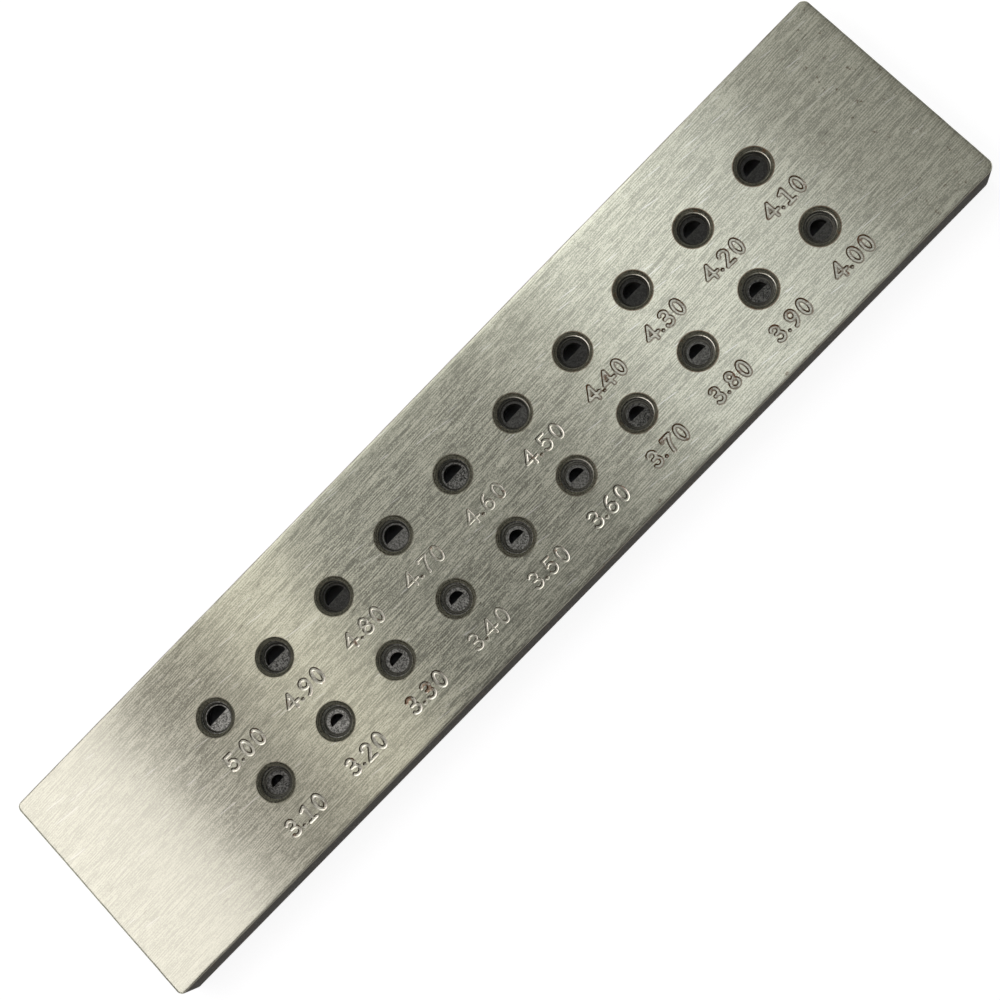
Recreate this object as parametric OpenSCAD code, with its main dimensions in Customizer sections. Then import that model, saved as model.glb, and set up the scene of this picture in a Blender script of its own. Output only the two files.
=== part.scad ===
// Draw plate for half-round wire: a steel bar that holds two rows of carbide dies.
// The bar lies on its entry face, and the wire leaves upwards through the marked face.
// Origin: middle of the entry face. +X runs along the bar, +Z points out of the marked face.

/* [Bar] */
// Length of the bar
plate_l = 228.6; // [210:0.1:300]
// Width of the bar
plate_w = 51.6; // [42:0.1:80]
// Thickness of the bar
plate_t = 9.5; // [8.5:0.1:16]
// Radius of the bar's upright corners
corner_r = 1.6; // [0.8:0.1:6]
// Edge break round both faces of the bar
edge_break = 0.3; // [0.1:0.05:0.7]

/* [Rows of dies] */
// Distance between neighbouring dies in a row
pitch = 17.1; // [13:0.1:18]
// Distance between the two rows
row_gap = 18.1; // [13:0.1:24]
// How far the rows sit towards the +X end of the bar
rows_x = 5.7; // [-10:0.1:10]
// How far the rows sit towards the +Y edge of the bar
rows_y = -0.2; // [-5:0.1:5]

/* [Wire sizes] */
// Width of the smallest half-round wire
first_size = 3.1; // [2:0.1:3.2]
// Step from one die to the next
size_step = 0.1; // [0.02:0.01:0.1]
// Largest turn of a die in its seat, in degrees
turn_error = 3; // [0:0.5:6]

/* [Holes in the bar] */
// Diameter of the countersink at the marked face
rim_d = 8.1; // [7.2:0.1:9]
// Diameter of the steel throat below the countersink
throat_d = 6.5; // [6.3:0.1:7]
// Steel left between the marked face and the die
front_web = 1.3; // [1.1:0.05:2]
// Diameter of the seat that the die is set in
seat_d = 10; // [9:0.1:12]
// Lead-in chamfer of the seat at the entry face
lead_in = 0.6; // [0.2:0.1:1.2]

/* [Dies] */
// Height of a die
die_h = 5.6; // [5:0.1:6.8]
// Radial gap for the solder between a die and its seat
solder_gap = 0.02; // [0:0.01:0.1]
// Chamfer on both ends of a die
die_chamfer = 0.3; // [0.1:0.05:0.5]
// Mouth of the exit cone, at the die's front end
exit_d = 6.2; // [5.8:0.1:6.4]
// Depth of the exit cone
exit_depth = 0.65; // [0.3:0.05:1]
// Diameter of the exit floor in the row of small dies
floor_small_d = 4.75; // [4.2:0.05:5.7]
// Diameter of the exit floor in the row of large dies
floor_large_d = 5.35; // [5.2:0.05:5.7]
// Length of the bearing that sizes the wire
bearing_l = 1; // [0.4:0.1:1.4]
// Length of the tapered approach to the bearing
approach_l = 1.95; // [1:0.05:2.2]
// Taper of the approach on its round side and on its flat, in degrees
approach_angle = 9; // [4:0.5:12]
// How much shorter the approach is on the flat side
flat_lead = 0.4; // [0.2:0.1:0.8]
// Mouth of the entry bell, at the die's rear end
bell_d = 8.4; // [7.6:0.1:8.8]

/* [Hidden] */
$fn = 96;
// Overrun of a cut past the face that it opens
over = 0.5;
dies_per_row = 10;
die_count = 2 * dies_per_row;
turn_seed = 7;

seat_z = plate_t - front_web;
die_r = seat_d / 2 - solder_gap;
bearing_top = -exit_depth;
bearing_end = bearing_top - bearing_l;
approach_end = bearing_end - approach_l;
flat_end = approach_end + flat_lead;
die_turns = rands(-turn_error, turn_error, die_count, turn_seed);

steel = [0.66, 0.65, 0.60];
carbide = [0.33, 0.33, 0.33];

// Dies are counted by size, from the smallest
function die_name(i) = str("die_", i < 9 ? "0" : "", i + 1);
function die_size(i) = first_size + i * size_step;
function in_small_row(i) = i < dies_per_row;
// The small row runs towards +X and the large row runs back again
function die_column(i) = in_small_row(i) ? i : die_count - 1 - i;
function die_x(i) = rows_x + (die_column(i) - (dies_per_row - 1) / 2) * pitch;
function die_y(i) = rows_y + (in_small_row(i) ? -0.5 : 0.5) * row_gap;
function floor_d(i) = in_small_row(i) ? floor_small_d : floor_large_d;
// How far the approach has widened on each side where it reaches z
function taper(z) = (bearing_end - z) * tan(approach_angle);
// Radius where a cone from r1 at z1 to r2 at z2 reaches z
function cone_r(r1, z1, r2, z2, z) = r1 + (r2 - r1) * (z - z1) / (z2 - z1);

// Cross-section of a bar that stands on z = 0, with broken edges
module bar_section(width) {
    polygon([
        [-width / 2 + edge_break, 0],
        [width / 2 - edge_break, 0],
        [width / 2, edge_break],
        [width / 2, plate_t - edge_break],
        [width / 2 - edge_break, plate_t],
        [-width / 2 + edge_break, plate_t],
        [-width / 2, plate_t - edge_break],
        [-width / 2, edge_break]
    ]);
}

// Bar with round upright corners and broken edges on both faces
module bar() {
    rotate([90, 0, 90])
        linear_extrude(height = plate_l - 2 * corner_r, center = true)
            bar_section(plate_w);
    rotate([90, 0, 0])
        linear_extrude(height = plate_w - 2 * corner_r, center = true)
            bar_section(plate_l);
    for (x = [-1, 1], y = [-1, 1])
        translate([x * (plate_l / 2 - corner_r), y * (plate_w / 2 - corner_r), 0])
            rotate_extrude()
                intersection() {
                    bar_section(2 * corner_r);
                    square([corner_r, plate_t]);
                }
}

// Stepped hole for one die: lead-in, seat, shoulder, throat and 90 degree countersink
module die_hole() {
    sink_depth = (rim_d - throat_d) / 2;
    rotate_extrude()
        polygon([
            [0, -over],
            [seat_d / 2 + lead_in + over, -over],
            [seat_d / 2, lead_in],
            [seat_d / 2, seat_z],
            [throat_d / 2, seat_z],
            [throat_d / 2, plate_t - sink_depth],
            [rim_d / 2 + over, plate_t + over],
            [0, plate_t + over]
        ]);
}

module plate() {
    color(steel)
        difference() {
            bar();
            for (i = [0 : die_count - 1])
                translate([die_x(i), die_y(i), 0])
                    die_hole();
        }
}

// Blank of a die, with its front end on z = 0
module die_blank() {
    rotate_extrude()
        polygon([
            [0, 0],
            [die_r - die_chamfer, 0],
            [die_r, -die_chamfer],
            [die_r, die_chamfer - die_h],
            [die_r - die_chamfer, -die_h],
            [0, -die_h]
        ]);
}

// Conical exit with a flat floor
module exit_cut(floor_r) {
    rotate_extrude()
        polygon([
            [0, bearing_top],
            [floor_r, bearing_top],
            [cone_r(floor_r, bearing_top, exit_d / 2, 0, over), over],
            [0, over]
        ]);
}

// Round side of the wire's way through a die: bearing, tapered approach and entry bell
module round_side(wire_r) {
    mouth_r = wire_r + taper(approach_end);
    rotate_extrude()
        polygon([
            [0, bearing_top + over],
            [wire_r, bearing_top + over],
            [wire_r, bearing_end],
            [mouth_r, approach_end],
            [cone_r(mouth_r, approach_end, bell_d / 2, -die_h, -die_h - over), -die_h - over],
            [0, -die_h - over]
        ]);
}

// Space in front of the flat, which stands on y = 0 and leans out along the approach and the bell
module flat_side() {
    reach = bell_d / 2 + over;
    rotate([90, 0, 90])
        linear_extrude(height = 4 * reach, center = true)
            polygon([
                [0, bearing_top + over],
                [0, bearing_end],
                [-taper(flat_end), flat_end],
                [-reach, -die_h],
                [-reach, -die_h - 2 * over],
                [2 * reach, -die_h - 2 * over],
                [2 * reach, bearing_top + over]
            ]);
}

// Half-round way for the wire. Half a facet's turn keeps the flat off the round side's vertices
module wire_way(wire_r) {
    intersection() {
        rotate(180 / $fn)
            round_side(wire_r);
        flat_side();
    }
}

// One die, seated against the shoulder under the throat
module die(i) {
    wire_r = die_size(i) / 2;
    color(carbide)
        translate([die_x(i), die_y(i), seat_z])
            rotate([0, 0, die_turns[i]])
                difference() {
                    die_blank();
                    exit_cut(floor_d(i) / 2);
                    wire_way(wire_r);
                }
}

plate();
for (i = [0 : die_count - 1])
    die(i);
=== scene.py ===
import math
import bmesh
import bpy
import numpy as np
from mathutils import Matrix, Vector
from mathutils.geometry import delaunay_2d_cdt


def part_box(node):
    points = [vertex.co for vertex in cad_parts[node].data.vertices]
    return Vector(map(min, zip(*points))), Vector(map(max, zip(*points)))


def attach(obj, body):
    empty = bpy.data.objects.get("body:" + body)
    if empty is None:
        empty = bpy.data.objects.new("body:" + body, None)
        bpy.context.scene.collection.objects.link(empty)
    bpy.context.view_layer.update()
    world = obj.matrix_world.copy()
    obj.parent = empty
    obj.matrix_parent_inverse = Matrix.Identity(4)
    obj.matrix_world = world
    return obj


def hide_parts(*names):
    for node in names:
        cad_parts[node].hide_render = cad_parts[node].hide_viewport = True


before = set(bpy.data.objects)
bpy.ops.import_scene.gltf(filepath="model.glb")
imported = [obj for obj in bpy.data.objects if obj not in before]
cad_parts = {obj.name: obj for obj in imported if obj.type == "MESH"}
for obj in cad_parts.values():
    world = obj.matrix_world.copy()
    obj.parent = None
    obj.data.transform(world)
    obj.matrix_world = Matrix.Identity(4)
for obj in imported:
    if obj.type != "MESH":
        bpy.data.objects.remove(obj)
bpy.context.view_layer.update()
scene = bpy.context.scene
scene.view_settings.view_transform = "Standard"
mm = 0.001  # the frame is in metres, the sizes in this script in millimetres

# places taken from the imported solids
plateLow, plateHigh = (np.array(corner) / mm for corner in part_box("plate"))
dieNames = sorted(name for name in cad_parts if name.startswith("die_"))
dieBoxes = np.array([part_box(name) for name in dieNames]) / mm  # low and high corner of each die
rowLength = len(dieNames) // 2
column = np.concatenate((np.arange(rowLength), np.arange(rowLength)[::-1]))  # small row out, large row back
pitch, firstX = np.polyfit(column, dieBoxes[:, :, 0].mean(1), 1)
rowYs = dieBoxes[:, :, 1].mean(1).reshape(2, rowLength).mean(1)
holeXy = np.column_stack((firstX + pitch * column, np.repeat(rowYs, rowLength)))
faceZ, backZ = plateHigh[2], plateLow[2]
dieFrontZ = dieBoxes[:, 1, 2].max()
print("frame read:", len(dieNames), "dies, pitch", round(pitch, 3))


def closedRing(count):
    # unit circle as count points, anticlockwise from +X
    turn = np.arange(count) * (2 * np.pi / count)
    return np.column_stack((np.cos(turn), np.sin(turn)))


def ringStrip(rings, points, first=0):
    # quads between neighbouring closed rings of a grid of rings x points
    ring, point = np.meshgrid(np.arange(rings - 1), np.arange(points), indexing="ij")
    here, after = ring * points + point, ring * points + (point + 1) % points
    return np.stack((here, after, after + points, here + points), -1).reshape(-1, 4) + first


joining = dict(
    weld=0.002,  # points closer than this become one
    crease=32,  # in degrees
    uvScale=4,  # brushing map, per metre
)


def readAll(items, name, kind, width=1):
    # one value, or a row of them, for each item of a mesh
    values = np.empty(len(items) * width, kind)
    items.foreach_get(name, values)
    return values


def makePiece(name, parts, zones):
    # joins (points, faces, zone number) parts, welds them and keeps a crease wherever the zone changes
    starts = np.cumsum([0] + [len(points) for points, _, _ in parts])
    points = np.vstack([p for p, _, _ in parts]) * mm
    corners = np.concatenate([(f + s).ravel() for s, (_, f, _) in zip(starts, parts)])
    sides = np.concatenate([np.full(len(f), f.shape[1]) for _, f, _ in parts])
    zone = np.concatenate([np.broadcast_to(k, len(f)) for _, f, k in parts])
    mesh = bpy.data.meshes.new(name)
    mesh.vertices.add(len(points))
    mesh.vertices.foreach_set("co", points.astype(np.float32).ravel())
    mesh.loops.add(len(corners))
    mesh.loops.foreach_set("vertex_index", corners.astype(np.int32))
    mesh.polygons.add(len(sides))
    mesh.polygons.foreach_set("loop_start", (np.cumsum(sides) - sides).astype(np.int32))
    mesh.polygons.foreach_set("material_index", zone.astype(np.int32))
    mesh.update(calc_edges=True)
    bm = bmesh.new()
    bm.from_mesh(mesh)
    bmesh.ops.remove_doubles(bm, verts=bm.verts, dist=joining["weld"] * mm)
    bmesh.ops.recalc_face_normals(bm, faces=bm.faces)
    bm.to_mesh(mesh)
    openEdges = sum(1 for edge in bm.edges if not edge.is_manifold)
    bm.free()
    mesh.shade_smooth()
    mesh.set_sharp_from_angle(angle=math.radians(joining["crease"]))
    # an edge is also sharp where the faces beside it are in different zones
    zone = readAll(mesh.polygons, "material_index", np.int32)
    loopZone = np.repeat(zone, readAll(mesh.polygons, "loop_total", np.int32))
    loopEdge = readAll(mesh.loops, "edge_index", np.int32)
    low, high = np.full(len(mesh.edges), len(zones)), np.full(len(mesh.edges), -1)
    np.minimum.at(low, loopEdge, loopZone)
    np.maximum.at(high, loopEdge, loopZone)
    sharp = readAll(mesh.edges, "use_edge_sharp", bool)
    mesh.edges.foreach_set("use_edge_sharp", sharp | (low != high))
    finishes = list(dict.fromkeys(zones.values()))
    for finish in finishes:
        mesh.materials.append(finish)
    finishOf = np.array([finishes.index(finish) for finish in zones.values()])
    mesh.polygons.foreach_set("material_index", finishOf[zone].astype(np.int32))
    place = readAll(mesh.vertices, "co", np.float32, 3).reshape(-1, 3)
    place = place[readAll(mesh.loops, "vertex_index", np.int32)]
    uv = mesh.uv_layers.new(name="brushUv")  # U runs across the bar, so that highlights stretch that way
    uv.data.foreach_set("uv", (place[:, [1, 0]] * joining["uvScale"] + 0.5).ravel())
    piece = bpy.data.objects.new(name, mesh)
    scene.collection.objects.link(piece)
    print(name, len(mesh.polygons), "faces,", openEdges, "open edges")
    return piece


def isSocket(value):
    return isinstance(value, bpy.types.NodeSocket)


def plugIn(tree, node, inputs):
    # a socket is linked to the input, anything else is its plain value
    for key, value in inputs.items():
        if isSocket(value):
            tree.links.new(value, node.inputs[key])
        else:
            node.inputs[key].default_value = value


def addNode(tree, kind, inputs=None, **settings):
    node = tree.nodes.new(kind)
    for key, value in settings.items():
        setattr(node, key, value)
    plugIn(tree, node, inputs or {})
    return node


def calc(tree, operation, *values):
    return addNode(tree, "ShaderNodeMath", dict(enumerate(values)), operation=operation).outputs[0]


def times(tree, first, *others):
    # product of two or more values
    for other in others:
        first = calc(tree, "MULTIPLY", first, other)
    return first


def ramp(tree, value, fromLow, fromHigh, toLow=0.0, toHigh=1.0, smooth=False):
    # value carried from one range over to another, and held at its ends
    kind = "SMOOTHSTEP" if smooth else "LINEAR"
    values = {"Value": value, "From Min": fromLow, "From Max": fromHigh, "To Min": toLow, "To Max": toHigh}
    return addNode(tree, "ShaderNodeMapRange", values, interpolation_type=kind, clamp=True).outputs[0]


def mixColor(tree, share, first, second, blend="MIX"):
    # first colour at share 0, second at share 1
    first, second = (value if isSocket(value) else (*value, 1) for value in (first, second))
    inputs = {0: share, 6: first, 7: second}  # the factor and the two colours of the mix node
    settings = dict(data_type="RGBA", blend_type=blend, clamp_factor=True)
    return addNode(tree, "ShaderNodeMix", inputs, **settings).outputs[2]


def noise(tree, place, scale, detail, roughness=0.5, seed=None):
    inputs = {"Vector": place, "Scale": scale, "Detail": detail, "Roughness": roughness}
    if seed is None:
        return addNode(tree, "ShaderNodeTexNoise", inputs).outputs[0]
    return addNode(tree, "ShaderNodeTexNoise", {**inputs, "W": seed}, noise_dimensions="4D").outputs[0]


def inMm(tree, place):
    inputs = {0: place, 1: (1 / mm,) * 3}
    return addNode(tree, "ShaderNodeVectorMath", inputs, operation="MULTIPLY").outputs[0]


def stretch(tree, place, scale):
    return addNode(tree, "ShaderNodeMapping", {"Vector": place, "Scale": scale}).outputs[0]


def joinXyz(tree, x, y, z):
    return addNode(tree, "ShaderNodeCombineXYZ", {0: x, 1: y, 2: z}).outputs[0]


def splitXyz(tree, place):
    return addNode(tree, "ShaderNodeSeparateXYZ", {0: place}).outputs


def surfaceLean(tree):
    return splitXyz(tree, addNode(tree, "ShaderNodeNewGeometry").outputs["Normal"])


def addBump(tree, height, strength, depth):
    inputs = {"Height": height, "Strength": strength, "Distance": depth * mm}
    return addNode(tree, "ShaderNodeBump", inputs).outputs[0]


def newGroup(name, inputs, outputs):
    tree = bpy.data.node_groups.new(name, "ShaderNodeTree")
    for socket, (kind, value) in inputs.items():
        made = tree.interface.new_socket(socket, in_out="INPUT", socket_type=kind)
        if value is not None:
            made.default_value = value
    for socket, kind in outputs.items():
        tree.interface.new_socket(socket, in_out="OUTPUT", socket_type=kind)
    return tree, addNode(tree, "NodeGroupInput").outputs, addNode(tree, "NodeGroupOutput")


def useGroup(tree, group, **inputs):
    return addNode(tree, "ShaderNodeGroup", inputs, node_tree=group).outputs


def newMaterial(name):
    material = bpy.data.materials.new(name)
    material.use_nodes = True
    tree = material.node_tree
    place = addNode(tree, "ShaderNodeTexCoord").outputs["Object"]
    return material, tree, tree.nodes["Principled BSDF"], place


amount, vector, colour = "NodeSocketFloat", "NodeSocketVector", "NodeSocketColor"

brushing = dict(
    drift=(90, 380, 380),  # stretch of the noise that the lines wander by, per metre
    wander=3.0,  # how many lines they wander
    rowStep=5.37,  # way through the noise from one line to the next
    depthStep=0.9,  # way through the noise for each mm of height
    swing=(0.22, 0.64),  # range of the noise in which a line turns over
)


def brushLinesGroup():
    # rows of fine lines, turned a few degrees, by turns pale and dull:
    # each row has its own noise along it, and all of them wander a little
    tree, given, made = newGroup(
        "brushLines",
        {
            "Place": (vector, None),
            "Lines": (amount, 3.0),
            "Length": (amount, 30.0),
            "Turn": (amount, 0.0),
            "Seed": (amount, 0.0),
        },
        {"Streak": amount, "Depth": amount},
    )
    inputs = {"Vector": given["Place"], "Angle": given["Turn"]}
    turned = addNode(tree, "ShaderNodeVectorRotate", inputs, rotation_type="Z_AXIS").outputs[0]
    x, y, z = splitXyz(tree, inMm(tree, turned))
    wander = noise(tree, stretch(tree, turned, brushing["drift"]), 1.0, 1.0, seed=given["Seed"])
    lines = times(tree, y, given["Lines"])
    row = calc(tree, "FLOOR", calc(tree, "MULTIPLY_ADD", wander, brushing["wander"], lines))
    along = calc(tree, "DIVIDE", x, given["Length"])
    deep = calc(tree, "MULTIPLY_ADD", z, brushing["depthStep"], given["Seed"])
    depth = noise(tree, joinXyz(tree, along, times(tree, row, brushing["rowStep"]), deep), 1.0, 1.5)
    other = calc(tree, "FLOORED_MODULO", row, 2.0)
    streak = calc(tree, "ABSOLUTE", calc(tree, "SUBTRACT", other, ramp(tree, depth, *brushing["swing"])))
    plugIn(tree, made, {"Streak": streak, "Depth": depth})
    return tree


def holeFrameGroup():
    # place about the nearest hole, with x measured from its column and y from its row:
    # the distance from its middle, the angle there, and a tone for each hole
    tree, given, made = newGroup(
        "holeFrame", {"Place": (vector, None)}, {"Radius": amount, "Turn": amount, "Tone": amount}
    )
    x, y, _ = splitXyz(tree, given["Place"])
    step = calc(tree, "DIVIDE", calc(tree, "SUBTRACT", x, float(firstX * mm)), float(pitch * mm))
    nearest = calc(tree, "MINIMUM", calc(tree, "MAXIMUM", calc(tree, "ROUND", step), 0.0), rowLength - 1.0)
    localX = times(tree, calc(tree, "SUBTRACT", step, nearest), float(pitch))
    upper = calc(tree, "GREATER_THAN", y, float(rowYs.mean() * mm))
    rowY = calc(tree, "MULTIPLY_ADD", upper, float(np.ptp(rowYs)), float(rowYs.min()))
    localY = calc(tree, "SUBTRACT", times(tree, y, 1 / mm), rowY)
    square = calc(tree, "ADD", calc(tree, "POWER", localX, 2.0), calc(tree, "POWER", localY, 2.0))
    cell = joinXyz(tree, nearest, upper, 3.7)  # the last number only seeds the tones
    tone = addNode(tree, "ShaderNodeTexWhiteNoise", {"Vector": cell}, noise_dimensions="3D").outputs["Value"]
    turn = calc(tree, "ARCTAN2", localY, localX)
    plugIn(tree, made, {"Radius": calc(tree, "SQRT", square), "Turn": turn, "Tone": tone})
    return tree


rustLook = dict(
    dark=(0.045, 0.026, 0.015),
    light=(0.21, 0.10, 0.038),
    fade=0.09,  # how far above the level a patch is full
    grain=2.6,  # per mm
)


def rustSpotsGroup():
    # patches of noise above a level, tinted by finer noise
    tree, given, made = newGroup(
        "rustSpots",
        {"Place": (vector, None), "Size": (amount, 2.0), "Level": (amount, 0.6), "Seed": (amount, 0.0)},
        {"Mask": amount, "Tint": colour},
    )
    spot = inMm(tree, given["Place"])
    broad = noise(tree, spot, calc(tree, "DIVIDE", 1.0, given["Size"]), 5.0, 0.65, given["Seed"])
    mask = ramp(tree, calc(tree, "SUBTRACT", broad, given["Level"]), 0.0, rustLook["fade"], smooth=True)
    fine = noise(tree, spot, rustLook["grain"], 3.0, seed=given["Seed"])
    plugIn(tree, made, {"Mask": mask, "Tint": mixColor(tree, fine, rustLook["dark"], rustLook["light"])})
    return tree


def edgeNearGroup():
    # place on the bar in mm, and the distance to its outline, seen from above: the lesser of the gaps to the
    # nearer end and the nearer side, above zero inside the outline and below zero outside it
    tree, given, made = newGroup(
        "edgeNear", {"Place": (vector, None)}, {"Distance": amount, "Along": amount, "Across": amount}
    )
    x, y, _ = splitXyz(tree, given["Place"])
    along, across = times(tree, x, 1 / mm), times(tree, y, 1 / mm)
    endGap = calc(tree, "SUBTRACT", float(plateHigh[0]), calc(tree, "ABSOLUTE", along))
    sideGap = calc(tree, "SUBTRACT", float(plateHigh[1]), calc(tree, "ABSOLUTE", across))
    distance = calc(tree, "MINIMUM", endGap, sideGap)
    plugIn(tree, made, {"Distance": distance, "Along": along, "Across": across})
    return tree


brushLines, holeFrame = brushLinesGroup(), holeFrameGroup()
rustSpots, edgeNear = rustSpotsGroup(), edgeNearGroup()

faceLook = dict(
    pale=(0.785, 0.785, 0.63),
    dull=(0.42, 0.42, 0.336),
    contrast=0.21,  # the streaks go from dull to pale within this much of their middle
    metallic=0.7,  # the scratched skin also scatters some light
    roughness=(0.34, 0.66, 0.165, 0.255),  # the dull streaks are the smoother ones
    anisotropy=0.95,
    bump=(0.05, 0.02),  # strength, and depth in mm
    layers=(  # share in the streaks; lines per mm, length in mm, turn in degrees, seed
        (0.30, 4.6, 2.2, -2.5, 0.0),
        (0.30, 3.8, 4.5, -1.0, 7.0),
        (0.22, 5.0, 14.0, -2.0, 19.0),
        (0.13, 4.2, 2.4, 4.0, 23.0),
    ),
    mottle=0.14,  # broad clouds in the streaks
    mottleStretch=(110, 420, 420),
    grit=0.65,  # fine grain over the streaks
    gritScale=5.2,  # per mm
    scratch=dict(lines=(5.5, 9.0, 8.0, 31.0), depth=(0.70, 0.75), share=0.7, tint=(0.96, 0.96, 0.88)),
    nick=dict(lines=(6.0, 3.5, -6.0, 47.0), depth=(0.27, 0.22), share=0.6, tint=(0.15, 0.14, 0.105)),
    calm=(-100.0, -62.0, 0.4, 0.0),  # plainer left end: from where to where along the bar, and how much
    calmTint=(0.60, 0.60, 0.48),
    rust=0.75,
    rustPatch=dict(Size=1.6, Level=0.60, Seed=2.0),  # size in mm, level of the noise, seed
    pits=0.85,
    pitPatch=dict(Size=0.5, Level=0.62, Seed=8.0),
    pitTint=(0.05, 0.042, 0.034),
    rightEnd=(80.0, 114.0),  # where rust and pits set in along the bar
    lowerSide=(-21.0, -25.2),  # and across it
    lowerAlong=(-30.0, 70.0, 0.25, 1.0),
    rimRing=((3.98, 4.06), (4.32, 4.16)),  # stain round the holes: radius where it begins and ends
    rimStain=(-20.0, 60.0, 0.3, 0.85),
    lipStain=0.8,  # stain along the numbers
    lipAlong=(17.0, 30.0),
    lipLeft=0.4,  # share of it on the left half
    lipPatch=dict(Size=0.9, Level=0.47, Seed=51.0),
    lipLeast=0.4,  # share of it between the patches
    brink=(0.42, 0.1),  # dark worn edge
    brinkShare=0.7,
    brinkTint=(0.12, 0.095, 0.075),
)


def brushedFace(name, stained):
    # streaks and clouds from dull to pale, and over them scratches, rust, stains and the dark edge
    material, tree, shader, place = newMaterial(name)

    def lines(count, length, turn, seed):
        inputs = dict(Place=place, Lines=count, Length=length, Turn=math.radians(turn), Seed=seed)
        return useGroup(tree, brushLines, **inputs)

    streak = 0.0
    for share, *cut in faceLook["layers"]:
        streak = calc(tree, "MULTIPLY_ADD", lines(*cut)["Streak"], share, streak)
    mottle = noise(tree, stretch(tree, place, faceLook["mottleStretch"]), 1.0, 3.0)
    grit = noise(tree, place, faceLook["gritScale"] / mm, 0.0)
    for cloud, share in ((mottle, faceLook["mottle"]), (grit, faceLook["grit"])):
        streak = calc(tree, "MULTIPLY_ADD", calc(tree, "SUBTRACT", cloud, 0.5), share, streak)
    contrast = faceLook["contrast"]
    tone = ramp(tree, streak, 0.5 - contrast, 0.5 + contrast)
    steel = mixColor(tree, tone, faceLook["dull"], faceLook["pale"])
    for mark in (faceLook["scratch"], faceLook["nick"]):
        worn = ramp(tree, lines(*mark["lines"])["Depth"], *mark["depth"])
        steel = mixColor(tree, times(tree, worn, mark["share"]), steel, mark["tint"])
    edge = useGroup(tree, edgeNear, Place=place)
    along = edge["Along"]
    calm = ramp(tree, along, *faceLook["calm"], smooth=True)
    steel = mixColor(tree, calm, steel, faceLook["calmTint"])
    # rust and pits at the right end and along the lower side
    rust = useGroup(tree, rustSpots, Place=place, **faceLook["rustPatch"])
    pits = useGroup(tree, rustSpots, Place=place, **faceLook["pitPatch"])["Mask"]
    rightEnd = ramp(tree, along, *faceLook["rightEnd"], smooth=True)
    lowerSide = ramp(tree, edge["Across"], *faceLook["lowerSide"], smooth=True)
    lowerSide = times(tree, lowerSide, ramp(tree, along, *faceLook["lowerAlong"]))
    weathered = calc(tree, "MAXIMUM", rightEnd, lowerSide)
    steel = mixColor(tree, times(tree, rust["Mask"], weathered, faceLook["rust"]), steel, rust["Tint"])
    steel = mixColor(tree, times(tree, pits, weathered, faceLook["pits"]), steel, faceLook["pitTint"])
    # stain round the holes and along the numbers, and the dark edge
    radius = useGroup(tree, holeFrame, Place=place)["Radius"]
    rimRing = times(tree, *(ramp(tree, radius, *reach) for reach in faceLook["rimRing"]))
    stain = times(tree, rimRing, ramp(tree, along, *faceLook["rimStain"], smooth=True))
    steel = mixColor(tree, stain, steel, rust["Tint"])
    if stained:
        spots = useGroup(tree, rustSpots, Place=place, **faceLook["lipPatch"])["Mask"]
        spots = ramp(tree, spots, 0.0, 1.0, faceLook["lipLeast"], 1.0)
        levels = faceLook["lipLeft"] * faceLook["lipStain"], faceLook["lipStain"]
        spread = ramp(tree, along, *faceLook["lipAlong"], *levels, smooth=True)
        steel = mixColor(tree, times(tree, spread, spots), steel, rust["Tint"])
    brink = times(tree, ramp(tree, edge["Distance"], *faceLook["brink"], smooth=True), faceLook["brinkShare"])
    tangent = addNode(tree, "ShaderNodeTangent", direction_type="UV_MAP", uv_map="brushUv").outputs[0]
    plugIn(tree, shader, {
        "Base Color": mixColor(tree, brink, steel, faceLook["brinkTint"]),
        "Roughness": ramp(tree, streak, *faceLook["roughness"]),
        "Metallic": faceLook["metallic"],
        "Anisotropic": faceLook["anisotropy"],
        "Tangent": tangent,
        "Normal": addBump(tree, streak, *faceLook["bump"]),
    })
    return material


sinkLook = dict(
    pale=(0.16, 0.155, 0.112),
    dull=(0.042, 0.04, 0.028),
    rings=11.0,  # turning marks per mm
    speck=2.8,  # per mm
    ringShare=0.55,  # the rest of the mottling is specks
    mottle=(0.41, 0.59),
    metallic=0.4,
    shine=0.15,
    roughness=(0.55, 0.40),
    rust=0.6,
    rustPatch=dict(Size=1.2, Level=0.55, Seed=9.0),
    rustAlong=(-10.0, 90.0, 0.15, 1.0),
    land=(0.72, 0.71, 0.6),  # the wire has rubbed the land above the throat smooth; its pale colour is a painted highlight
    landTurn=0.25,  # painted highlight, strongest on its +X side
    landReach=(0.35, 0.95, 0.05, 1.0),
    landAlong=(-5.0, 40.0),  # and on the right half
    landPolish=0.2,
    bump=(0.45, 0.04),
)


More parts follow.
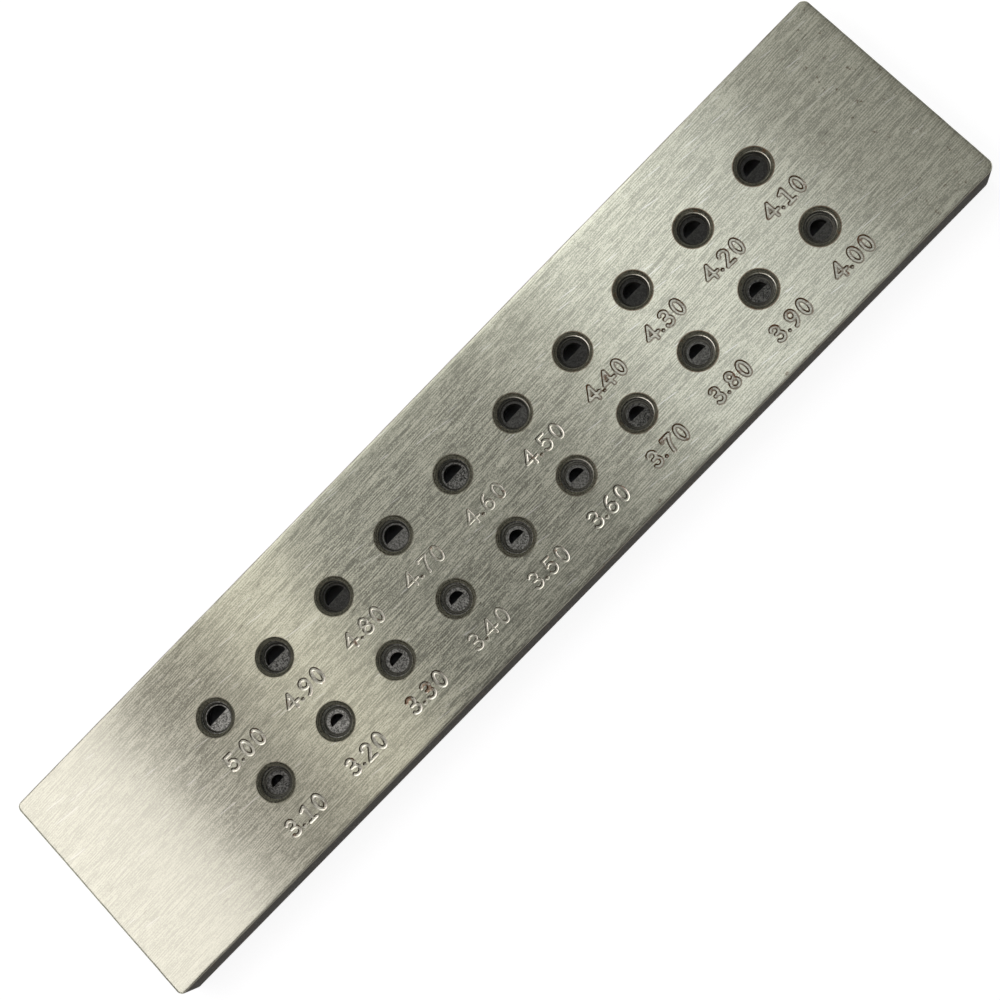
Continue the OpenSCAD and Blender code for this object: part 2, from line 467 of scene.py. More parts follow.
def turnedSink(name, burnishedWithHighlight):
    # rings and specks from dull to pale, rusted towards +X, with the land polished and given a painted
    # highlight on its +X side
    material, tree, shader, place = newMaterial(name)
    hole = useGroup(tree, holeFrame, Place=place)
    along = useGroup(tree, edgeNear, Place=place)["Along"]
    lathe = joinXyz(tree, times(tree, hole["Radius"], sinkLook["rings"]), hole["Turn"], hole["Tone"])
    rings = noise(tree, lathe, 1.0, 3.0)
    speck = noise(tree, inMm(tree, place), sinkLook["speck"], 3.0, 0.6)
    ringShare = sinkLook["ringShare"]
    mottled = calc(tree, "ADD", times(tree, rings, ringShare), times(tree, speck, 1 - ringShare))
    cut = ramp(tree, mottled, *sinkLook["mottle"])
    steel = mixColor(tree, cut, sinkLook["dull"], sinkLook["pale"])
    rust = useGroup(tree, rustSpots, Place=place, **sinkLook["rustPatch"])
    worn = times(tree, rust["Mask"], ramp(tree, along, *sinkLook["rustAlong"]), sinkLook["rust"])
    steel = mixColor(tree, worn, steel, rust["Tint"])
    rough = ramp(tree, cut, 0.0, 1.0, *sinkLook["roughness"])
    metal = sinkLook["metallic"]
    if burnishedWithHighlight:
        # on the land's +X side the pale colour is a painted highlight, and the steel is polished there:
        # smoother and more metallic
        facing = calc(tree, "COSINE", calc(tree, "SUBTRACT", hole["Turn"], sinkLook["landTurn"]))
        highlightSide = ramp(tree, facing, *sinkLook["landReach"], smooth=True)
        polishAndHighlight = times(tree, ramp(tree, along, *sinkLook["landAlong"], smooth=True), highlightSide)
        steel = mixColor(tree, polishAndHighlight, steel, sinkLook["land"])
        rough = calc(tree, "SUBTRACT", rough, times(tree, polishAndHighlight, sinkLook["landPolish"]))
        metal = calc(tree, "MULTIPLY_ADD", polishAndHighlight, 1 - metal, metal)
    plugIn(tree, shader, {
        "Base Color": steel,
        "Roughness": rough,
        "Metallic": metal,
        "Specular IOR Level": sinkLook["shine"],
        "Normal": addBump(tree, rings, *sinkLook["bump"]),
    })
    return material


sideLook = dict(
    scale=(0.05, 0.046, 0.039),
    bare=(0.13, 0.122, 0.106),  # steel that shows through the scale
    bareShine=0.8,
    band=(110, 500, 900),  # rolling bands along the sides
    bandRange=(0.28, 0.72),
    speck=1.7,  # per mm
    bareSpeck=(0.54, 0.70),  # ranges of the specks and the bands in which the steel shows
    bareBand=(0.3, 0.9),
    rust=0.25,
    rustPatch=dict(Size=2.4, Level=0.56, Seed=5.0),
    shine=0.05,
    roughness=(0.3, 0.7, 0.85, 0.6),
    bump=(0.4, 0.06),
)


def millScale():
    # dark scale, with bare specks where the bands are strong, and rust
    material, tree, shader, place = newMaterial("millScale")
    band = ramp(tree, noise(tree, stretch(tree, place, sideLook["band"]), 1.0, 2.0), *sideLook["bandRange"])
    speck = noise(tree, inMm(tree, place), sideLook["speck"], 6.0, 0.7)
    bare = times(tree, ramp(tree, speck, *sideLook["bareSpeck"]), ramp(tree, band, *sideLook["bareBand"]))
    skin = mixColor(tree, bare, sideLook["scale"], sideLook["bare"])
    rust = useGroup(tree, rustSpots, Place=place, **sideLook["rustPatch"])
    plugIn(tree, shader, {
        "Base Color": mixColor(tree, times(tree, rust["Mask"], sideLook["rust"]), skin, rust["Tint"]),
        "Roughness": ramp(tree, speck, *sideLook["roughness"]),
        "Metallic": times(tree, bare, sideLook["bareShine"]),
        "Specular IOR Level": sideLook["shine"],
        "Normal": addBump(tree, speck, *sideLook["bump"]),
    })
    return material


grooveLook = dict(
    bright=(0.96, 0.93, 0.79),
    # dark colour for the grime patches and for the painted shade on walls that lean towards -Y
    dirtAndShade=(0.05, 0.036, 0.022),
    grime=0.35,
    grimePatch=dict(Size=2.2, Level=0.50, Seed=33.0),
    paintedShade=(0.02, -0.12, 0.0, 0.95),  # painted shade: the walls that lean towards -Y are darkened to the dark colour
    crust=(0.5, 0.58, 0.48),  # darkens the rust that fills the numbers on the right half
    crustShare=(0.75, 0.22),  # on all walls, and more of it on the walls that lean towards -Y, as painted shade
    rightHalf=(19.0, 28.0),  # where along the bar it sets in
    wallRust=0.06,  # share of the rust on the left half
    wallPatch=dict(Size=1.4, Level=0.33, Seed=21.0),
    wallDull=0.8,  # how much less metallic the rust is
    wallRough=(0.35, 0.28),  # what the rust adds to the roughness, and the roughness of the steel
    wallShine=0.2,
    amber=(0.13, 0.052, 0.016),  # fresh rust here and there
    amberPatch=dict(Size=2.8, Level=0.55, Seed=41.0),
    wallAmber=0.85,
    floorAmber=0.7,
    floor=((0.28, 0.277, 0.222), (0.58, 0.575, 0.47)),
    wornFloor=((0.46, 0.455, 0.37), (0.86, 0.85, 0.72)),
    floorLines=dict(Lines=6.0, Length=1.2, Turn=0.7, Seed=5.0),
    floorRust=(0.12, 0.33),  # on the left half, and what the right half adds
    floorPatch=dict(Size=1.0, Level=0.56, Seed=25.0),
    floorDull=0.7,
    floorRough=(0.3, 0.34),
)


def amberSpots(tree, place):
    return useGroup(tree, rustSpots, Place=place, **grooveLook["amberPatch"])["Mask"]


def grooveWall():
    # bright steel with grime patches, painted shade on the walls that lean towards -Y, and rust filling the
    # numbers on the right half, more of it on those walls as painted shade
    material, tree, shader, place = newMaterial("grooveWall")
    rust = useGroup(tree, rustSpots, Place=place, **grooveLook["wallPatch"])
    grime = useGroup(tree, rustSpots, Place=place, **grooveLook["grimePatch"])["Mask"]
    along = useGroup(tree, edgeNear, Place=place)["Along"]
    rightHalf = ramp(tree, along, *grooveLook["rightHalf"], grooveLook["wallRust"], 1.0, smooth=True)
    # painted shade: walls that lean towards -Y take the dark colour
    paintedShade = ramp(tree, surfaceLean(tree)[1], *grooveLook["paintedShade"])
    grimeAndShade = calc(tree, "MAXIMUM", times(tree, grime, grooveLook["grime"]), paintedShade)
    steel = mixColor(tree, grimeAndShade, grooveLook["bright"], grooveLook["dirtAndShade"])
    everywhere, extra = grooveLook["crustShare"]
    # the rust fill is heavier on the walls that lean towards -Y, as painted shade
    share = calc(tree, "MULTIPLY_ADD", paintedShade, extra, everywhere)
    fill = times(tree, rust["Mask"], times(tree, rightHalf, share))
    crust = mixColor(tree, 1.0, rust["Tint"], grooveLook["crust"], blend="MULTIPLY")
    steel = mixColor(tree, fill, steel, crust)
    amber = times(tree, amberSpots(tree, place), grooveLook["wallAmber"])
    plugIn(tree, shader, {
        "Base Color": mixColor(tree, amber, steel, grooveLook["amber"]),
        "Metallic": calc(tree, "SUBTRACT", 1.0, times(tree, fill, grooveLook["wallDull"])),
        "Specular IOR Level": grooveLook["wallShine"],
        "Roughness": calc(tree, "MULTIPLY_ADD", fill, *grooveLook["wallRough"]),
    })
    return material


def grooveFloor():
    # short streaks, brighter on the right half, with rust and amber over them
    material, tree, shader, place = newMaterial("grooveFloor")
    streak = useGroup(tree, brushLines, Place=place, **grooveLook["floorLines"])["Streak"]
    rust = useGroup(tree, rustSpots, Place=place, **grooveLook["floorPatch"])
    along = useGroup(tree, edgeNear, Place=place)["Along"]
    rightHalf = ramp(tree, along, *grooveLook["rightHalf"], smooth=True)
    leftRust, moreRust = grooveLook["floorRust"]
    fill = times(tree, rust["Mask"], calc(tree, "MULTIPLY_ADD", rightHalf, moreRust, leftRust))
    left, right = (mixColor(tree, streak, *grooveLook[key]) for key in ("floor", "wornFloor"))
    steel = mixColor(tree, fill, mixColor(tree, rightHalf, left, right), rust["Tint"])
    amber = times(tree, amberSpots(tree, place), grooveLook["floorAmber"])
    plugIn(tree, shader, {
        "Base Color": mixColor(tree, amber, steel, grooveLook["amber"]),
        "Metallic": calc(tree, "SUBTRACT", 1.0, times(tree, fill, grooveLook["floorDull"])),
        "Roughness": calc(tree, "MULTIPLY_ADD", fill, *grooveLook["floorRough"]),
    })
    return material


# brightness of the exit floor, how flecked it is, and the dies that show it, counted by size
carbideTones = dict(
    carbidePale=(0.33, 0.75, (2, 20)),
    carbideFair=(0.225, 0.7, (3, 4, 5)),
    carbideCoarse=(0.165, 0.85, (16, 19)),
    carbideMid=(0.17, 0.5, (6, 8, 17)),
    carbideGrey=(0.125, 0.8, (1, 7, 9)),
    carbideDark=(0.085, 0.4, (10, 15)),
    carbideBlack=(0.05, 0.4, (11, 12, 13, 14, 18)),
)
carbideLook = dict(
    grain=3.1,  # per mm
    fleck=(0.42, 0.62),
    swing=(0.9, 0.65),  # how far the flecks go below and above the tone
    warmth=0.9,  # blue against red and green
    upright=(0.80, 0.97),  # the flat floor is eroded and paler, the cone is ground smooth
    rings=7.0,
    ringTurn=0.6,
    ringShare=0.6,
    coneRange=(0.40, 0.64),
    cone=((0.05, 0.048, 0.04), (0.25, 0.245, 0.205)),
    metallic=0.8,
    roughness=(0.3, 0.7, 0.60, 0.42),
    bump=(0.4, 0.04),
)


def groundCarbide(name, level, flecked):
    # flecked floor where the surface faces up, and ground rings on the cone
    material, tree, shader, place = newMaterial(name)
    hole = useGroup(tree, holeFrame, Place=place)
    grain = noise(tree, inMm(tree, place), carbideLook["grain"], 4.0, 0.7)
    below, above = carbideLook["swing"]
    tones = level * (1 - below * flecked), level * (1 + above * flecked)
    low, high = ((tone, tone, tone * carbideLook["warmth"]) for tone in tones)
    floorShade = mixColor(tree, ramp(tree, grain, *carbideLook["fleck"]), low, high)
    around = times(tree, hole["Turn"], carbideLook["ringTurn"])
    lathe = joinXyz(tree, times(tree, hole["Radius"], carbideLook["rings"]), around, hole["Tone"])
    rings = noise(tree, lathe, 1.0, 2.0)
    ringShare = carbideLook["ringShare"]
    streaked = calc(tree, "ADD", times(tree, rings, ringShare), times(tree, grain, 1 - ringShare))
    coneShade = mixColor(tree, ramp(tree, streaked, *carbideLook["coneRange"]), *carbideLook["cone"])
    flat = ramp(tree, surfaceLean(tree)[2], *carbideLook["upright"])
    plugIn(tree, shader, {
        "Base Color": mixColor(tree, flat, coneShade, floorShade),
        "Roughness": ramp(tree, grain, *carbideLook["roughness"]),
        "Metallic": carbideLook["metallic"],
        "Normal": addBump(tree, grain, *carbideLook["bump"]),
    })
    return material


face, lip = brushedFace("brushedFace", False), brushedFace("stainedLip", True)
sink, land = turnedSink("turnedSink", False), turnedSink("burnishedLandHighlight", True)
side, wall, floorCut = millScale(), grooveWall(), grooveFloor()
carbides = {}
for name, (level, flecked, numbers) in carbideTones.items():
    carbides.update(dict.fromkeys(numbers, groundCarbide(name, level, flecked)))
print("finishes made")


sizeMarks = dict(
    first=3.10,
    step=0.10,
    offset=(0.0, -8.9),  # from the hole to the middle of its number
    shift={  # uneven hand setting along the bar
        "3.40": 0.5, "3.50": 0.3, "3.70": -0.4, "3.90": -0.2, "4.10": -0.4,
        "4.20": -0.4, "4.40": 0.5, "4.50": -0.2, "4.60": 0.35,
    },
    advance=(-3.65, -1.63, 0.50, 3.65),  # digit, point, digit, digit
    reach=6,  # half the space that a number takes up
    pointDrop=-1.3,
    pointRadius=0.45,
    pointDepth=0.34,
    pointFloor=0.3,  # share of the radius
    lip=0.08,  # stained border beside a groove
    sharp=dict(halfWidth=0.40, floorHalf=0.15, lean=0.03, depth=0.095),  # shallow walls on the left half
    blunt=dict(halfWidth=0.45, floorHalf=0.19, lean=0.0, depth=0.17),  # deeper ones on the right half
    blunting=(18, 30),  # where along the bar the one turns into the other
    worn={  # share of the depth that is left where the face was ground down after engraving
        "3.60": 0.85, "4.50": 0.75, "4.60": 0.5, "3.40": 0.55, "3.50": 0.65, "4.70": 0.5, "4.80": 0.75,
    },
    steep=0.004,  # a face that drops more than this is a wall
)


def bow(middle, radii, start, end, step=0.17):
    # points on an ellipse from one angle to another, in degrees
    count = max(5, int(abs(math.radians(end - start)) * max(radii) / step))
    turn = np.radians(np.linspace(start, end, count))
    path = np.array(middle) + np.column_stack((np.cos(turn), np.sin(turn))) * radii
    if abs(end - start) == 360:
        path[-1] = path[0]
    return path


def run(start, end, step=0.5):
    # points on a straight line
    count = max(2, int(math.dist(start, end) / step) + 1)
    return np.linspace(start, end, count)


digitPaths = {
    "0": [bow((0, 0), (0.87, 1.65), 0, 360)],
    "1": [
        run((-0.95, 1.12), (0.1, 1.65)),
        run((0.1, 1.65), (0.1, -1.65)),
        run((-0.75, -1.65), (0.95, -1.65)),
    ],
    "2": [
        np.vstack((bow((0, 0.78), (0.88, 0.87), 172, -22), run((0.62, 0.17), (-0.9, -1.65)))),
        run((-0.9, -1.65), (0.95, -1.65)),
    ],
    "3": [
        bow((-0.05, 0.86), (0.78, 0.79), 150, -90),
        bow((-0.05, -0.79), (0.9, 0.86), 90, -152),
        run((-0.42, 0.07), (-0.05, 0.07)),
    ],
    "4": [
        run((0.3, 1.65), (-1.45, -0.6)),
        run((-1.45, -0.6), (1.25, -0.6)),
        run((0.3, 1.65), (0.3, -1.65)),
    ],
    "5": [
        run((0.78, 1.65), (-0.68, 1.65)),
        run((-0.68, 1.65), (-0.8, 0.12)),
        bow((-0.08, -0.58), (0.95, 1.05), 138, -148),
    ],
    "6": [bow((0, -0.74), (0.88, 0.91), 0, 360), bow((0.75, -0.74), (1.63, 2.39), 180, 98)],
    "7": [
        run((-0.85, 1.65), (0.85, 1.65)),
        run((-0.85, 1.65), (-0.9, 1.25)),
        bow((3.9, -1.9), (4.15, 4.65), 130.5, 177),
    ],
    "8": [bow((0, 0.85), (0.74, 0.79), 0, 360), bow((0, -0.79), (0.9, 0.86), 0, 360)],
    "9": [bow((0, 0.74), (0.88, 0.91), 0, 360), bow((-0.75, 0.74), (1.63, 2.39), 0, -82)],
}


def grooveEdges(path, half):
    # both edges of a groove: its path moved half a width to each side, with round ends
    closed = np.allclose(path[0], path[-1])
    if closed:
        path = path[:-1]
        ahead = np.roll(path, -1, 0) - np.roll(path, 1, 0)
    else:
        ahead = np.gradient(path, axis=0)
    aside = np.column_stack((-ahead[:, 1], ahead[:, 0])) / np.linalg.norm(ahead, axis=1)[:, None] * half
    if closed:
        return [path + aside, path - aside]
    turn = np.radians(np.arange(60, -90, -30))  # inner points of a half circle
    leave, enter = (math.atan2(*ahead[k][::-1]) + extra for k, extra in ((-1, 0), (0, math.pi)))
    caps = [
        path[k] + half * np.column_stack((np.cos(start + turn), np.sin(start + turn)))
        for k, start in ((-1, leave), (0, enter))
    ]
    return [np.vstack((path + aside, caps[0], (path - aside)[::-1], caps[1]))]


def wayOff(points, paths):
    # distance from each point to the nearest straight piece of the paths
    start, end = np.vstack([p[:-1] for p in paths]), np.vstack([p[1:] for p in paths])
    reach = end - start
    away = points[:, None] - start
    share = np.clip((away * reach).sum(-1) / (reach**2).sum(-1), 0, 1)
    return np.linalg.norm(away - share[..., None] * reach, axis=-1).min(1)


def layOut(number, hole):
    # paths, floors and depth of the number beside one hole
    words = f"{sizeMarks['first'] + number * sizeMarks['step']:.2f}"
    middle = hole + sizeMarks["offset"] + (sizeMarks["shift"].get(words, 0), 0)
    digits = [(words[k], sizeMarks["advance"][k]) for k in (0, 2, 3)]
    paths = [middle + (shift, 0) + path for digit, shift in digits for path in digitPaths[digit]]
    left = sizeMarks["worn"].get(words, 1.0)
    dulled = float(np.interp(hole[0], sizeMarks["blunting"], (0, 1)))
    sharp, blunt = sizeMarks["sharp"], sizeMarks["blunt"]
    cutter = {key: value + dulled * (blunt[key] - value) for key, value in sharp.items()}
    floorHalf = cutter["floorHalf"]
    return dict(
        middle=middle,
        paths=paths,
        beds=[path + (0, cutter["lean"] * left) for path in paths],
        point=middle + (sizeMarks["advance"][1], sizeMarks["pointDrop"]),
        half=floorHalf + (cutter["halfWidth"] - floorHalf) * left,
        floorHalf=floorHalf,
        depth=cutter["depth"] * left,
    )


marks = [layOut(number, hole) for number, hole in enumerate(holeXy)]


def markDepth(points):
    # depth of the engraving: walls from the edge of a groove down to its flat floor, by the share of the
    # way between them, and a blunt cone at the decimal point
    # beyond the edges it is below zero, by how far away they are
    depth = np.full(len(points), -1.0)
    pointRadius = sizeMarks["pointRadius"]
    for mark in marks:
        near = np.flatnonzero(np.abs(points - mark["middle"]).max(1) < sizeMarks["reach"])
        inside = mark["half"] - wayOff(points[near], mark["paths"])
        short = np.maximum(wayOff(points[near], mark["beds"]) - mark["floorHalf"], 0)
        stroke = np.where(inside > 0, mark["depth"] * inside / np.maximum(inside + short, 1e-6), inside)
        within = pointRadius - np.linalg.norm(points[near] - mark["point"], axis=1)
        slope = np.minimum(within / pointRadius, 1 - sizeMarks["pointFloor"])
        pit = np.where(within > 0, slope * sizeMarks["pointDepth"], within)
        depth[near] = np.maximum(depth[near], np.maximum(stroke, pit))
    return np.where(np.abs(depth) < 1e-4, 0, depth)


bar = dict(
    cornerRadii=(1.3, 2.0, 1.6, 1.4),  # anticlockwise from the -X -Y corner
    smallestRadius=0.5,
    cornerPoints=9,
    runs=(150, 40),  # pieces along the long and the short sides
    crown=(  # inset and drop below the face
        (2.4, 0), (1.6, 0.003), (1.0, 0.010), (0.6, 0.024), (0.34, 0.05),
        (0.19, 0.088), (0.09, 0.15), (0.03, 0.25), (0.0, 0.4),
    ),
    foot=((0.0, 0.9), (0.0, 4.7), (0.0, 9.1), (0.03, 9.3), (0.1, 9.42), (0.2, 9.48), (0.45, 9.5)),
    wobble=0.05,  # uneven wear of the upper edge
    wearWaves=(7, 19, 41, 67, 103),
    wearSeed=4,
    wearMiddle=0.25,  # inset where it bites most
    wearReach=0.3,
    wearDrop=1,  # how far down it goes
    endLean=0.65,  # how far out of square the left end is cut
    leanFrom=100,  # where that begins, and within what length
    leanRun=14,
)
bore = dict(
    segments=128,
    # radius and depth below the face, from the rim down to the throat
    rim=((4.10, 0), (4.075, 0.01), (4.05, 0.03), (4.02, 0.058), (3.94, 0.138)),
    cone=((3.7, 0.375), (3.53, 0.545), (3.47, 0.605), (3.44, 0.622)),
    land=((3.38, 0.638), (3.32, 0.654), (3.29, 0.664)),  # narrow shelf above the throat
    lip=((3.265, 0.70), (3.25, 0.80)),
    throat=3.25,
    seat=5.0,
    leadIn=0.6,
    footRound=(0.08, 0.02),  # width and height of the broken edge at the back
    chatter=0.022,  # uneven radius of the rim
    chatterWaves=(5, 11, 37, 53),
    chatterSeed=60,
    chatterDepth=(0.1, 0.15),  # where it is strongest, and how far it reaches
)
holeRing = closedRing(bore["segments"])
rimRadius, footRadius = bore["rim"][0][0], bore["seat"] + bore["leadIn"] + bore["footRound"][0]
finishes = dict(  # by zone
    face=face, crown=face, rim=face, back=face, sink=sink,
    land=land, side=side, lip=lip, wall=wall, floor=floorCut,
)
zone = {name: number for number, name in enumerate(finishes)}


def barRing(inset):
    # rounded rectangle pulled in by inset:
    # an arc about each corner's own centre, with straight runs between the arcs
    inset = np.asarray(inset, float)
    half = plateHigh[:2] - inset[..., None]
    corners = zip(((-1, -1), (1, -1), (1, 1), (-1, 1)), bar["cornerRadii"])
    ring = []
    for k, (towards, radius) in enumerate(corners):
        r = np.maximum(radius - inset, bar["smallestRadius"])
        turn = np.radians(np.linspace(180, 270, bar["cornerPoints"]) + 90 * k)
        middle = (half - r[..., None]) * towards
        ring.append(middle[..., None, :] + r[..., None, None] * np.column_stack((np.cos(turn), np.sin(turn))))
    path = []
    for k in range(4):
        share = np.linspace(0, 1, bar["runs"][k % 2] + 1)[1:-1, None]
        leave, enter = ring[k][..., -1:, :], ring[(k + 1) % 4][..., :1, :]
        path += [ring[k], leave + (enter - leave) * share]
    return np.concatenate(path, -2)


def slowWave(count, waves, seed):
    # sum of sines with whole periods round a loop and seeded phases, from -1 to 1
    dice = np.random.default_rng(seed)
    turn = np.arange(count) * (2 * np.pi / count)
    rate = np.array(waves)
    wave = np.sin(turn[:, None] * rate + dice.uniform(0, 2 * np.pi, len(rate))).sum(1)
    return wave / len(rate)


def cutSheet(outline, radius, lines=()):
    # flat sheet between an outline and a round rim at every hole, triangulated with every line as an edge,
    # less the triangles whose middle lies in a hole
    chains = [outline] + [hole + holeRing * radius for hole in holeXy] + list(lines)
    starts = np.cumsum([0] + [len(points) for points in chains])
    edges = []
    for start, points in zip(starts, chains):
        index = np.arange(len(points))
        edges += (np.column_stack((index, np.roll(index, -1))) + start).tolist()
    flat = list(map(Vector, np.vstack(chains).tolist()))
    points, _, faces, *_ = delaunay_2d_cdt(flat, edges, [], 0, 1e-6)
    points, faces = np.array(points), np.array(faces)
    centre = points[faces].mean(1)
    clear = radius * math.cos(math.pi / bore["segments"]) - 1e-4
    inside = (np.linalg.norm(centre[:, None] - holeXy, axis=-1) < clear).any(1)
    return points, faces[~inside], centre[~inside]


def edgePart():
    # edge of the bar: the crown, side and foot profile carried round the outline,
    # with the upper edge pulled inwards by a slow wave
    inset, drop = np.array(bar["crown"] + bar["foot"]).T
    rings = barRing(inset)
    count = rings.shape[1]
    wear = (1 + slowWave(count, bar["wearWaves"], bar["wearSeed"])) * bar["wobble"]
    reach = np.exp(-((inset - bar["wearMiddle"]) / bar["wearReach"]) ** 2) * (drop < bar["wearDrop"])
    step = 0.1  # a small inset, to find the way inwards
    inwards = (barRing(inset + step) - rings) / step
    rings = rings + inwards * (reach[:, None] * wear)[..., None]
    height = np.broadcast_to((faceZ - drop)[:, None, None], (*rings.shape[:2], 1))
    faces = ringStrip(len(inset), count)
    crownFaces = (len(bar["crown"]) - 2) * count
    zones = np.where(np.arange(len(faces)) < crownFaces, zone["crown"], zone["side"])
    return np.concatenate((rings, height), -1).reshape(-1, 3), faces, zones


def facePart():
    # marked face, with the engraving sunk into it
    lip = sizeMarks["lip"]
    lines = []
    for mark in marks:
        for path in mark["paths"]:
            lines += grooveEdges(path, mark["half"] + lip) + grooveEdges(path, mark["half"])
    for mark in marks:
        for bed in mark["beds"]:
            lines += grooveEdges(bed, mark["floorHalf"])
    pointRing = holeRing[::6] * sizeMarks["pointRadius"]
    for mark in marks:
        lines += [mark["point"] + pointRing * share for share in (1, sizeMarks["pointFloor"])]
    flat, faces, centre = cutSheet(barRing(bar["crown"][0][0]), rimRadius, lines)
    points = np.column_stack((flat, faceZ - np.maximum(markDepth(flat), 0)))
    steep, cut = np.ptp(points[faces, 2], axis=1) > sizeMarks["steep"], markDepth(centre)
    choices = [zone["wall"], zone["floor"], zone["lip"]]
    return points, faces, np.select([steep, cut > 0, cut > -lip], choices, zone["face"])


def backPart():
    # flat back of the bar, facing down
    flat, faces, _ = cutSheet(barRing(bar["foot"][-1][0]), footRadius)
    return np.column_stack((flat, np.full(len(flat), backZ))), faces[:, ::-1], zone["back"]


def holePart():
    # holes: one turned profile carried round every hole, from the rim down to the lead-in
    seat, segments = bore["seat"], bore["segments"]
    shoulder, foot = faceZ - dieFrontZ, faceZ - backZ
    turned = np.array(bore["rim"] + bore["cone"] + bore["land"] + bore["lip"] + (
        (bore["throat"], shoulder),
        (seat, shoulder),
        (seat, foot - bore["leadIn"]),
        (seat + bore["leadIn"], foot - bore["footRound"][1]),
        (footRadius, foot),
    ))
    count = len(holeXy)
    waves = [slowWave(segments, bore["chatterWaves"], bore["chatterSeed"] + k) for k in range(count)]
    middle, reach = bore["chatterDepth"]
    bite = np.exp(-((turned[:, 1] - middle) / reach) ** 2)
    bite[0] = 0  # the outermost ring is shared with the flat face
    radius = turned[None, :, None, 0] + bite[None, :, None] * (np.array(waves) * bore["chatter"])[:, None, :]
    xy = holeXy[:, None, None] + radius[..., None] * holeRing
    z = np.broadcast_to((faceZ - turned[:, 1])[None, :, None, None], (*xy.shape[:3], 1))
    perHole = len(turned) * segments
    faces = np.concatenate([ringStrip(len(turned), segments, k * perHole) for k in range(count)])
    ringOf = faces[:, 0] % perHole // segments
    shelf = len(bore["rim"] + bore["cone"]) - 1
    onShelf = (ringOf >= shelf) & (ringOf < shelf + len(bore["land"]))
    zones = np.select([ringOf < 1, onShelf], [zone["rim"], zone["land"]], zone["sink"])
    return np.concatenate((xy, z), -1).reshape(-1, 3), faces, zones


def leanEnd(points):
    # the left end leans inwards towards +Y: the shift grows with the way past leanFrom, and with y
    share = np.clip((-points[:, 0] - bar["leanFrom"]) / bar["leanRun"], 0, 1)
    points[:, 0] += bar["endLean"] * share * (points[:, 1] / plateHigh[1] + 1) / 2


parts = [edgePart(), facePart(), backPart()]
for points, _, _ in parts:
    leanEnd(points)
steelBar = makePiece("brushedBar", parts + [holePart()], finishes)
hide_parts("plate")
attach(steelBar, "root")

for number, name in enumerate(dieNames, 1):
    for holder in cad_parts[name].material_slots:
        holder.material = carbides[number]
print("bar and dies dressed")


floorLook = dict(
    half=3000,
    cells=4,
    below=0.05,  # under the bar
    glow=0.86,  # near the bar, where light and shade come on top
    farGlow=1.0,
    fade=(-300, -1200),  # distance from the bar, outwards
    contact=(1.0, 3.0),  # goes dark this far in under the bar, where its own shade would be
    plain=0.82,  # for the light that the floor throws back
    lit=0.32,  # share of the light that shows, with the bar's shadow in it
)


def paleFloor():
    # white table for the camera and in reflections, plain diffuse for all other light
    material, tree, shader, place = newMaterial("paleFloor")
    tree.nodes.remove(shader)
    path = addNode(tree, "ShaderNodeLightPath").outputs
    seen = calc(tree, "MAXIMUM", path["Is Camera Ray"], path["Is Glossy Ray"])
    seen = calc(tree, "MAXIMUM", seen, path["Is Transmission Ray"])
    gap = useGroup(tree, edgeNear, Place=place)["Distance"]
    near, far = ((floorLook[key],) * 3 for key in ("glow", "farGlow"))
    pale = mixColor(tree, ramp(tree, gap, *floorLook["fade"], smooth=True), near, far)
    pale = mixColor(tree, ramp(tree, gap, *floorLook["contact"], 1.0, 0.0), (0, 0, 0), pale)
    plain, dim = (
        addNode(tree, "ShaderNodeBsdfDiffuse", {"Color": (floorLook[key],) * 3 + (1,)}).outputs[0]
        for key in ("plain", "lit")
    )
    glow = addNode(tree, "ShaderNodeEmission", {"Color": pale}).outputs[0]
    bright = addNode(tree, "ShaderNodeAddShader", {0: dim, 1: glow}).outputs[0]
    mixed = addNode(tree, "ShaderNodeMixShader", {0: seen, 1: plain, 2: bright}).outputs[0]
    tree.links.new(mixed, tree.nodes["Material Output"].inputs[0])
    return material


def makeFloor():
    # flat grid just under the bar
    cells = floorLook["cells"]
    spread = np.linspace(-1, 1, cells + 1) * floorLook["half"]
    x, y = np.meshgrid(spread, spread)
    points = np.column_stack((x.ravel(), y.ravel(), np.full(x.size, backZ - floorLook["below"]))) * mm
    row, cell = np.meshgrid(np.arange(cells), np.arange(cells), indexing="ij")
    first = (row * (cells + 1) + cell).ravel()
    mesh = bpy.data.meshes.new("floor")
    mesh.from_pydata(points, [], np.column_stack((first, first + 1, first + cells + 2, first + cells + 1)))
    mesh.materials.append(paleFloor())
    floor = bpy.data.objects.new("floor", mesh)
    scene.collection.objects.link(floor)


makeFloor()

panelReach = dict(y=(-250, 1200), z=1010)  # the row of soft boxes along the bar
highReach = dict(y=(400, 1050), z=1060)  # and the ones above that row
panels = dict(  # reach along X and Y and height in mm, level as radiance, tint
    leftBox=dict(x=(-920, -365), **panelReach, level=1.77, tint=(1.05, 1.0, 1.06)),
    leftEdge=dict(x=(-365, -265), **panelReach, level=0.23, tint=(1.1, 1.0, 0.92)),
    leftStrip=dict(x=(-265, -185), **panelReach, level=0.86, tint=(1.06, 1.0, 0.93)),
    rightFill=dict(x=(40, 105), **panelReach, level=0.30, tint=(0.99, 1.0, 1.02)),
    rightBox=dict(x=(105, 300), **panelReach, level=0.94, tint=(0.975, 1.0, 1.06)),
    rightEdge=dict(x=(300, 420), **panelReach, level=0.28, tint=(1.0, 1.0, 1.0)),
    farRight=dict(x=(420, 900), **panelReach, level=0.12, tint=(1.06, 1.0, 0.92)),
    backBox=dict(x=(-260, 260), **highReach, level=1.38, tint=(1.0, 1.0, 1.0)),
    backLow=dict(x=(-450, 450), y=(1060, 1600), z=1060, level=1.8, tint=(1.0, 0.99, 0.95)),
    backLeft=dict(x=(-730, -260), **highReach, level=0.17, tint=(1.05, 1.0, 0.94)),
    backRight=dict(x=(260, 730), **highReach, level=0.34, tint=(1.0, 1.0, 1.0)),
)


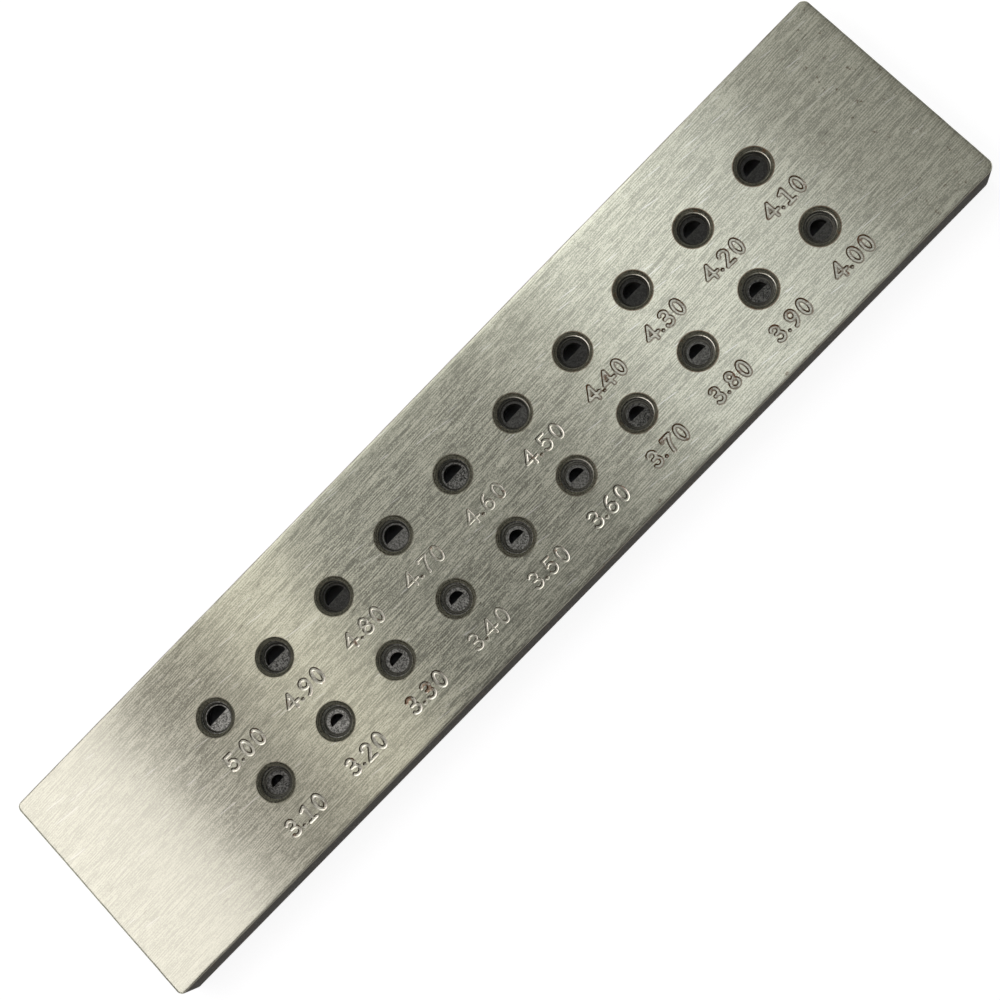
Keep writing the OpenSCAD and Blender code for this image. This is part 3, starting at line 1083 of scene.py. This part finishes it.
def hangPanel(name, x, y, z, level, tint):
    # soft box that faces down, its power being level times pi times its area
    lamp = bpy.data.lights.new(name, "AREA")
    lamp.shape = "RECTANGLE"
    lamp.size, lamp.size_y = (x[1] - x[0]) * mm, (y[1] - y[0]) * mm
    lamp.energy, lamp.color = level * math.pi * lamp.size * lamp.size_y, tint
    panel = bpy.data.objects.new(name, lamp)
    panel.location = Vector((sum(x) / 2, sum(y) / 2, z)) * mm
    scene.collection.objects.link(panel)


for name, panel in panels.items():
    hangPanel(name, **panel)

roomLook = dict(
    front=1.0,  # light from low down on each side
    back=1.15,
    top=0.02,  # and from overhead
    turn=(-0.7, 0.35),  # where it goes over from front to back
    low=0.22,  # the low light is full up to here
    height=(0.8, 0.55),  # and gone from here, in front and behind
    frontOnly=(-0.2, -0.5),
)


def makeRoom():
    # light by direction: a level from front to back, gone above a height that differs in front and behind
    world = bpy.data.worlds.new("studio")
    world.use_nodes = True
    tree = world.node_tree
    _, y, z = splitXyz(tree, addNode(tree, "ShaderNodeTexCoord").outputs["Generated"])
    around = ramp(tree, y, *roomLook["turn"], roomLook["front"], roomLook["back"], smooth=True)
    frontHeight, backHeight = (
        ramp(tree, z, roomLook["low"], end, 1.0, 0.0, smooth=True) for end in roomLook["height"]
    )
    inFront = times(tree, frontHeight, ramp(tree, y, *roomLook["frontOnly"], smooth=True))
    level = times(tree, around, calc(tree, "MAXIMUM", backHeight, inFront))
    level = calc(tree, "MAXIMUM", level, roomLook["top"])
    grey = addNode(tree, "ShaderNodeCombineColor", {0: level, 1: level, 2: level}).outputs[0]
    tree.links.new(grey, tree.nodes["Background"].inputs["Color"])
    scene.world = world


makeRoom()

viewPoint = dict(  # in mm
    place=(11.0, -74.77, 366.71),
    aim=(0.14, -1.7, 9.5),
    up=(0.7148, 0.6891, 0.1192),
    lens=66.08,
    sensor=36,
)


def makeCamera():
    # camera at its place, looking at aim, with its upright as near to up as that allows
    camera = bpy.data.objects.new("camera", bpy.data.cameras.new("camera"))
    camera.data.lens, camera.data.sensor_width = viewPoint["lens"], viewPoint["sensor"]
    camera.data.clip_start, camera.data.clip_end = 0.01, 50
    back = (Vector(viewPoint["place"]) - Vector(viewPoint["aim"])).normalized()
    right = Vector(viewPoint["up"]).cross(back).normalized()
    turn = Matrix((right, back.cross(right), back)).transposed().to_4x4()
    camera.matrix_world = Matrix.Translation(Vector(viewPoint["place"]) * mm) @ turn
    scene.collection.objects.link(camera)
    scene.camera = camera


makeCamera()
print("floor, light and camera set")
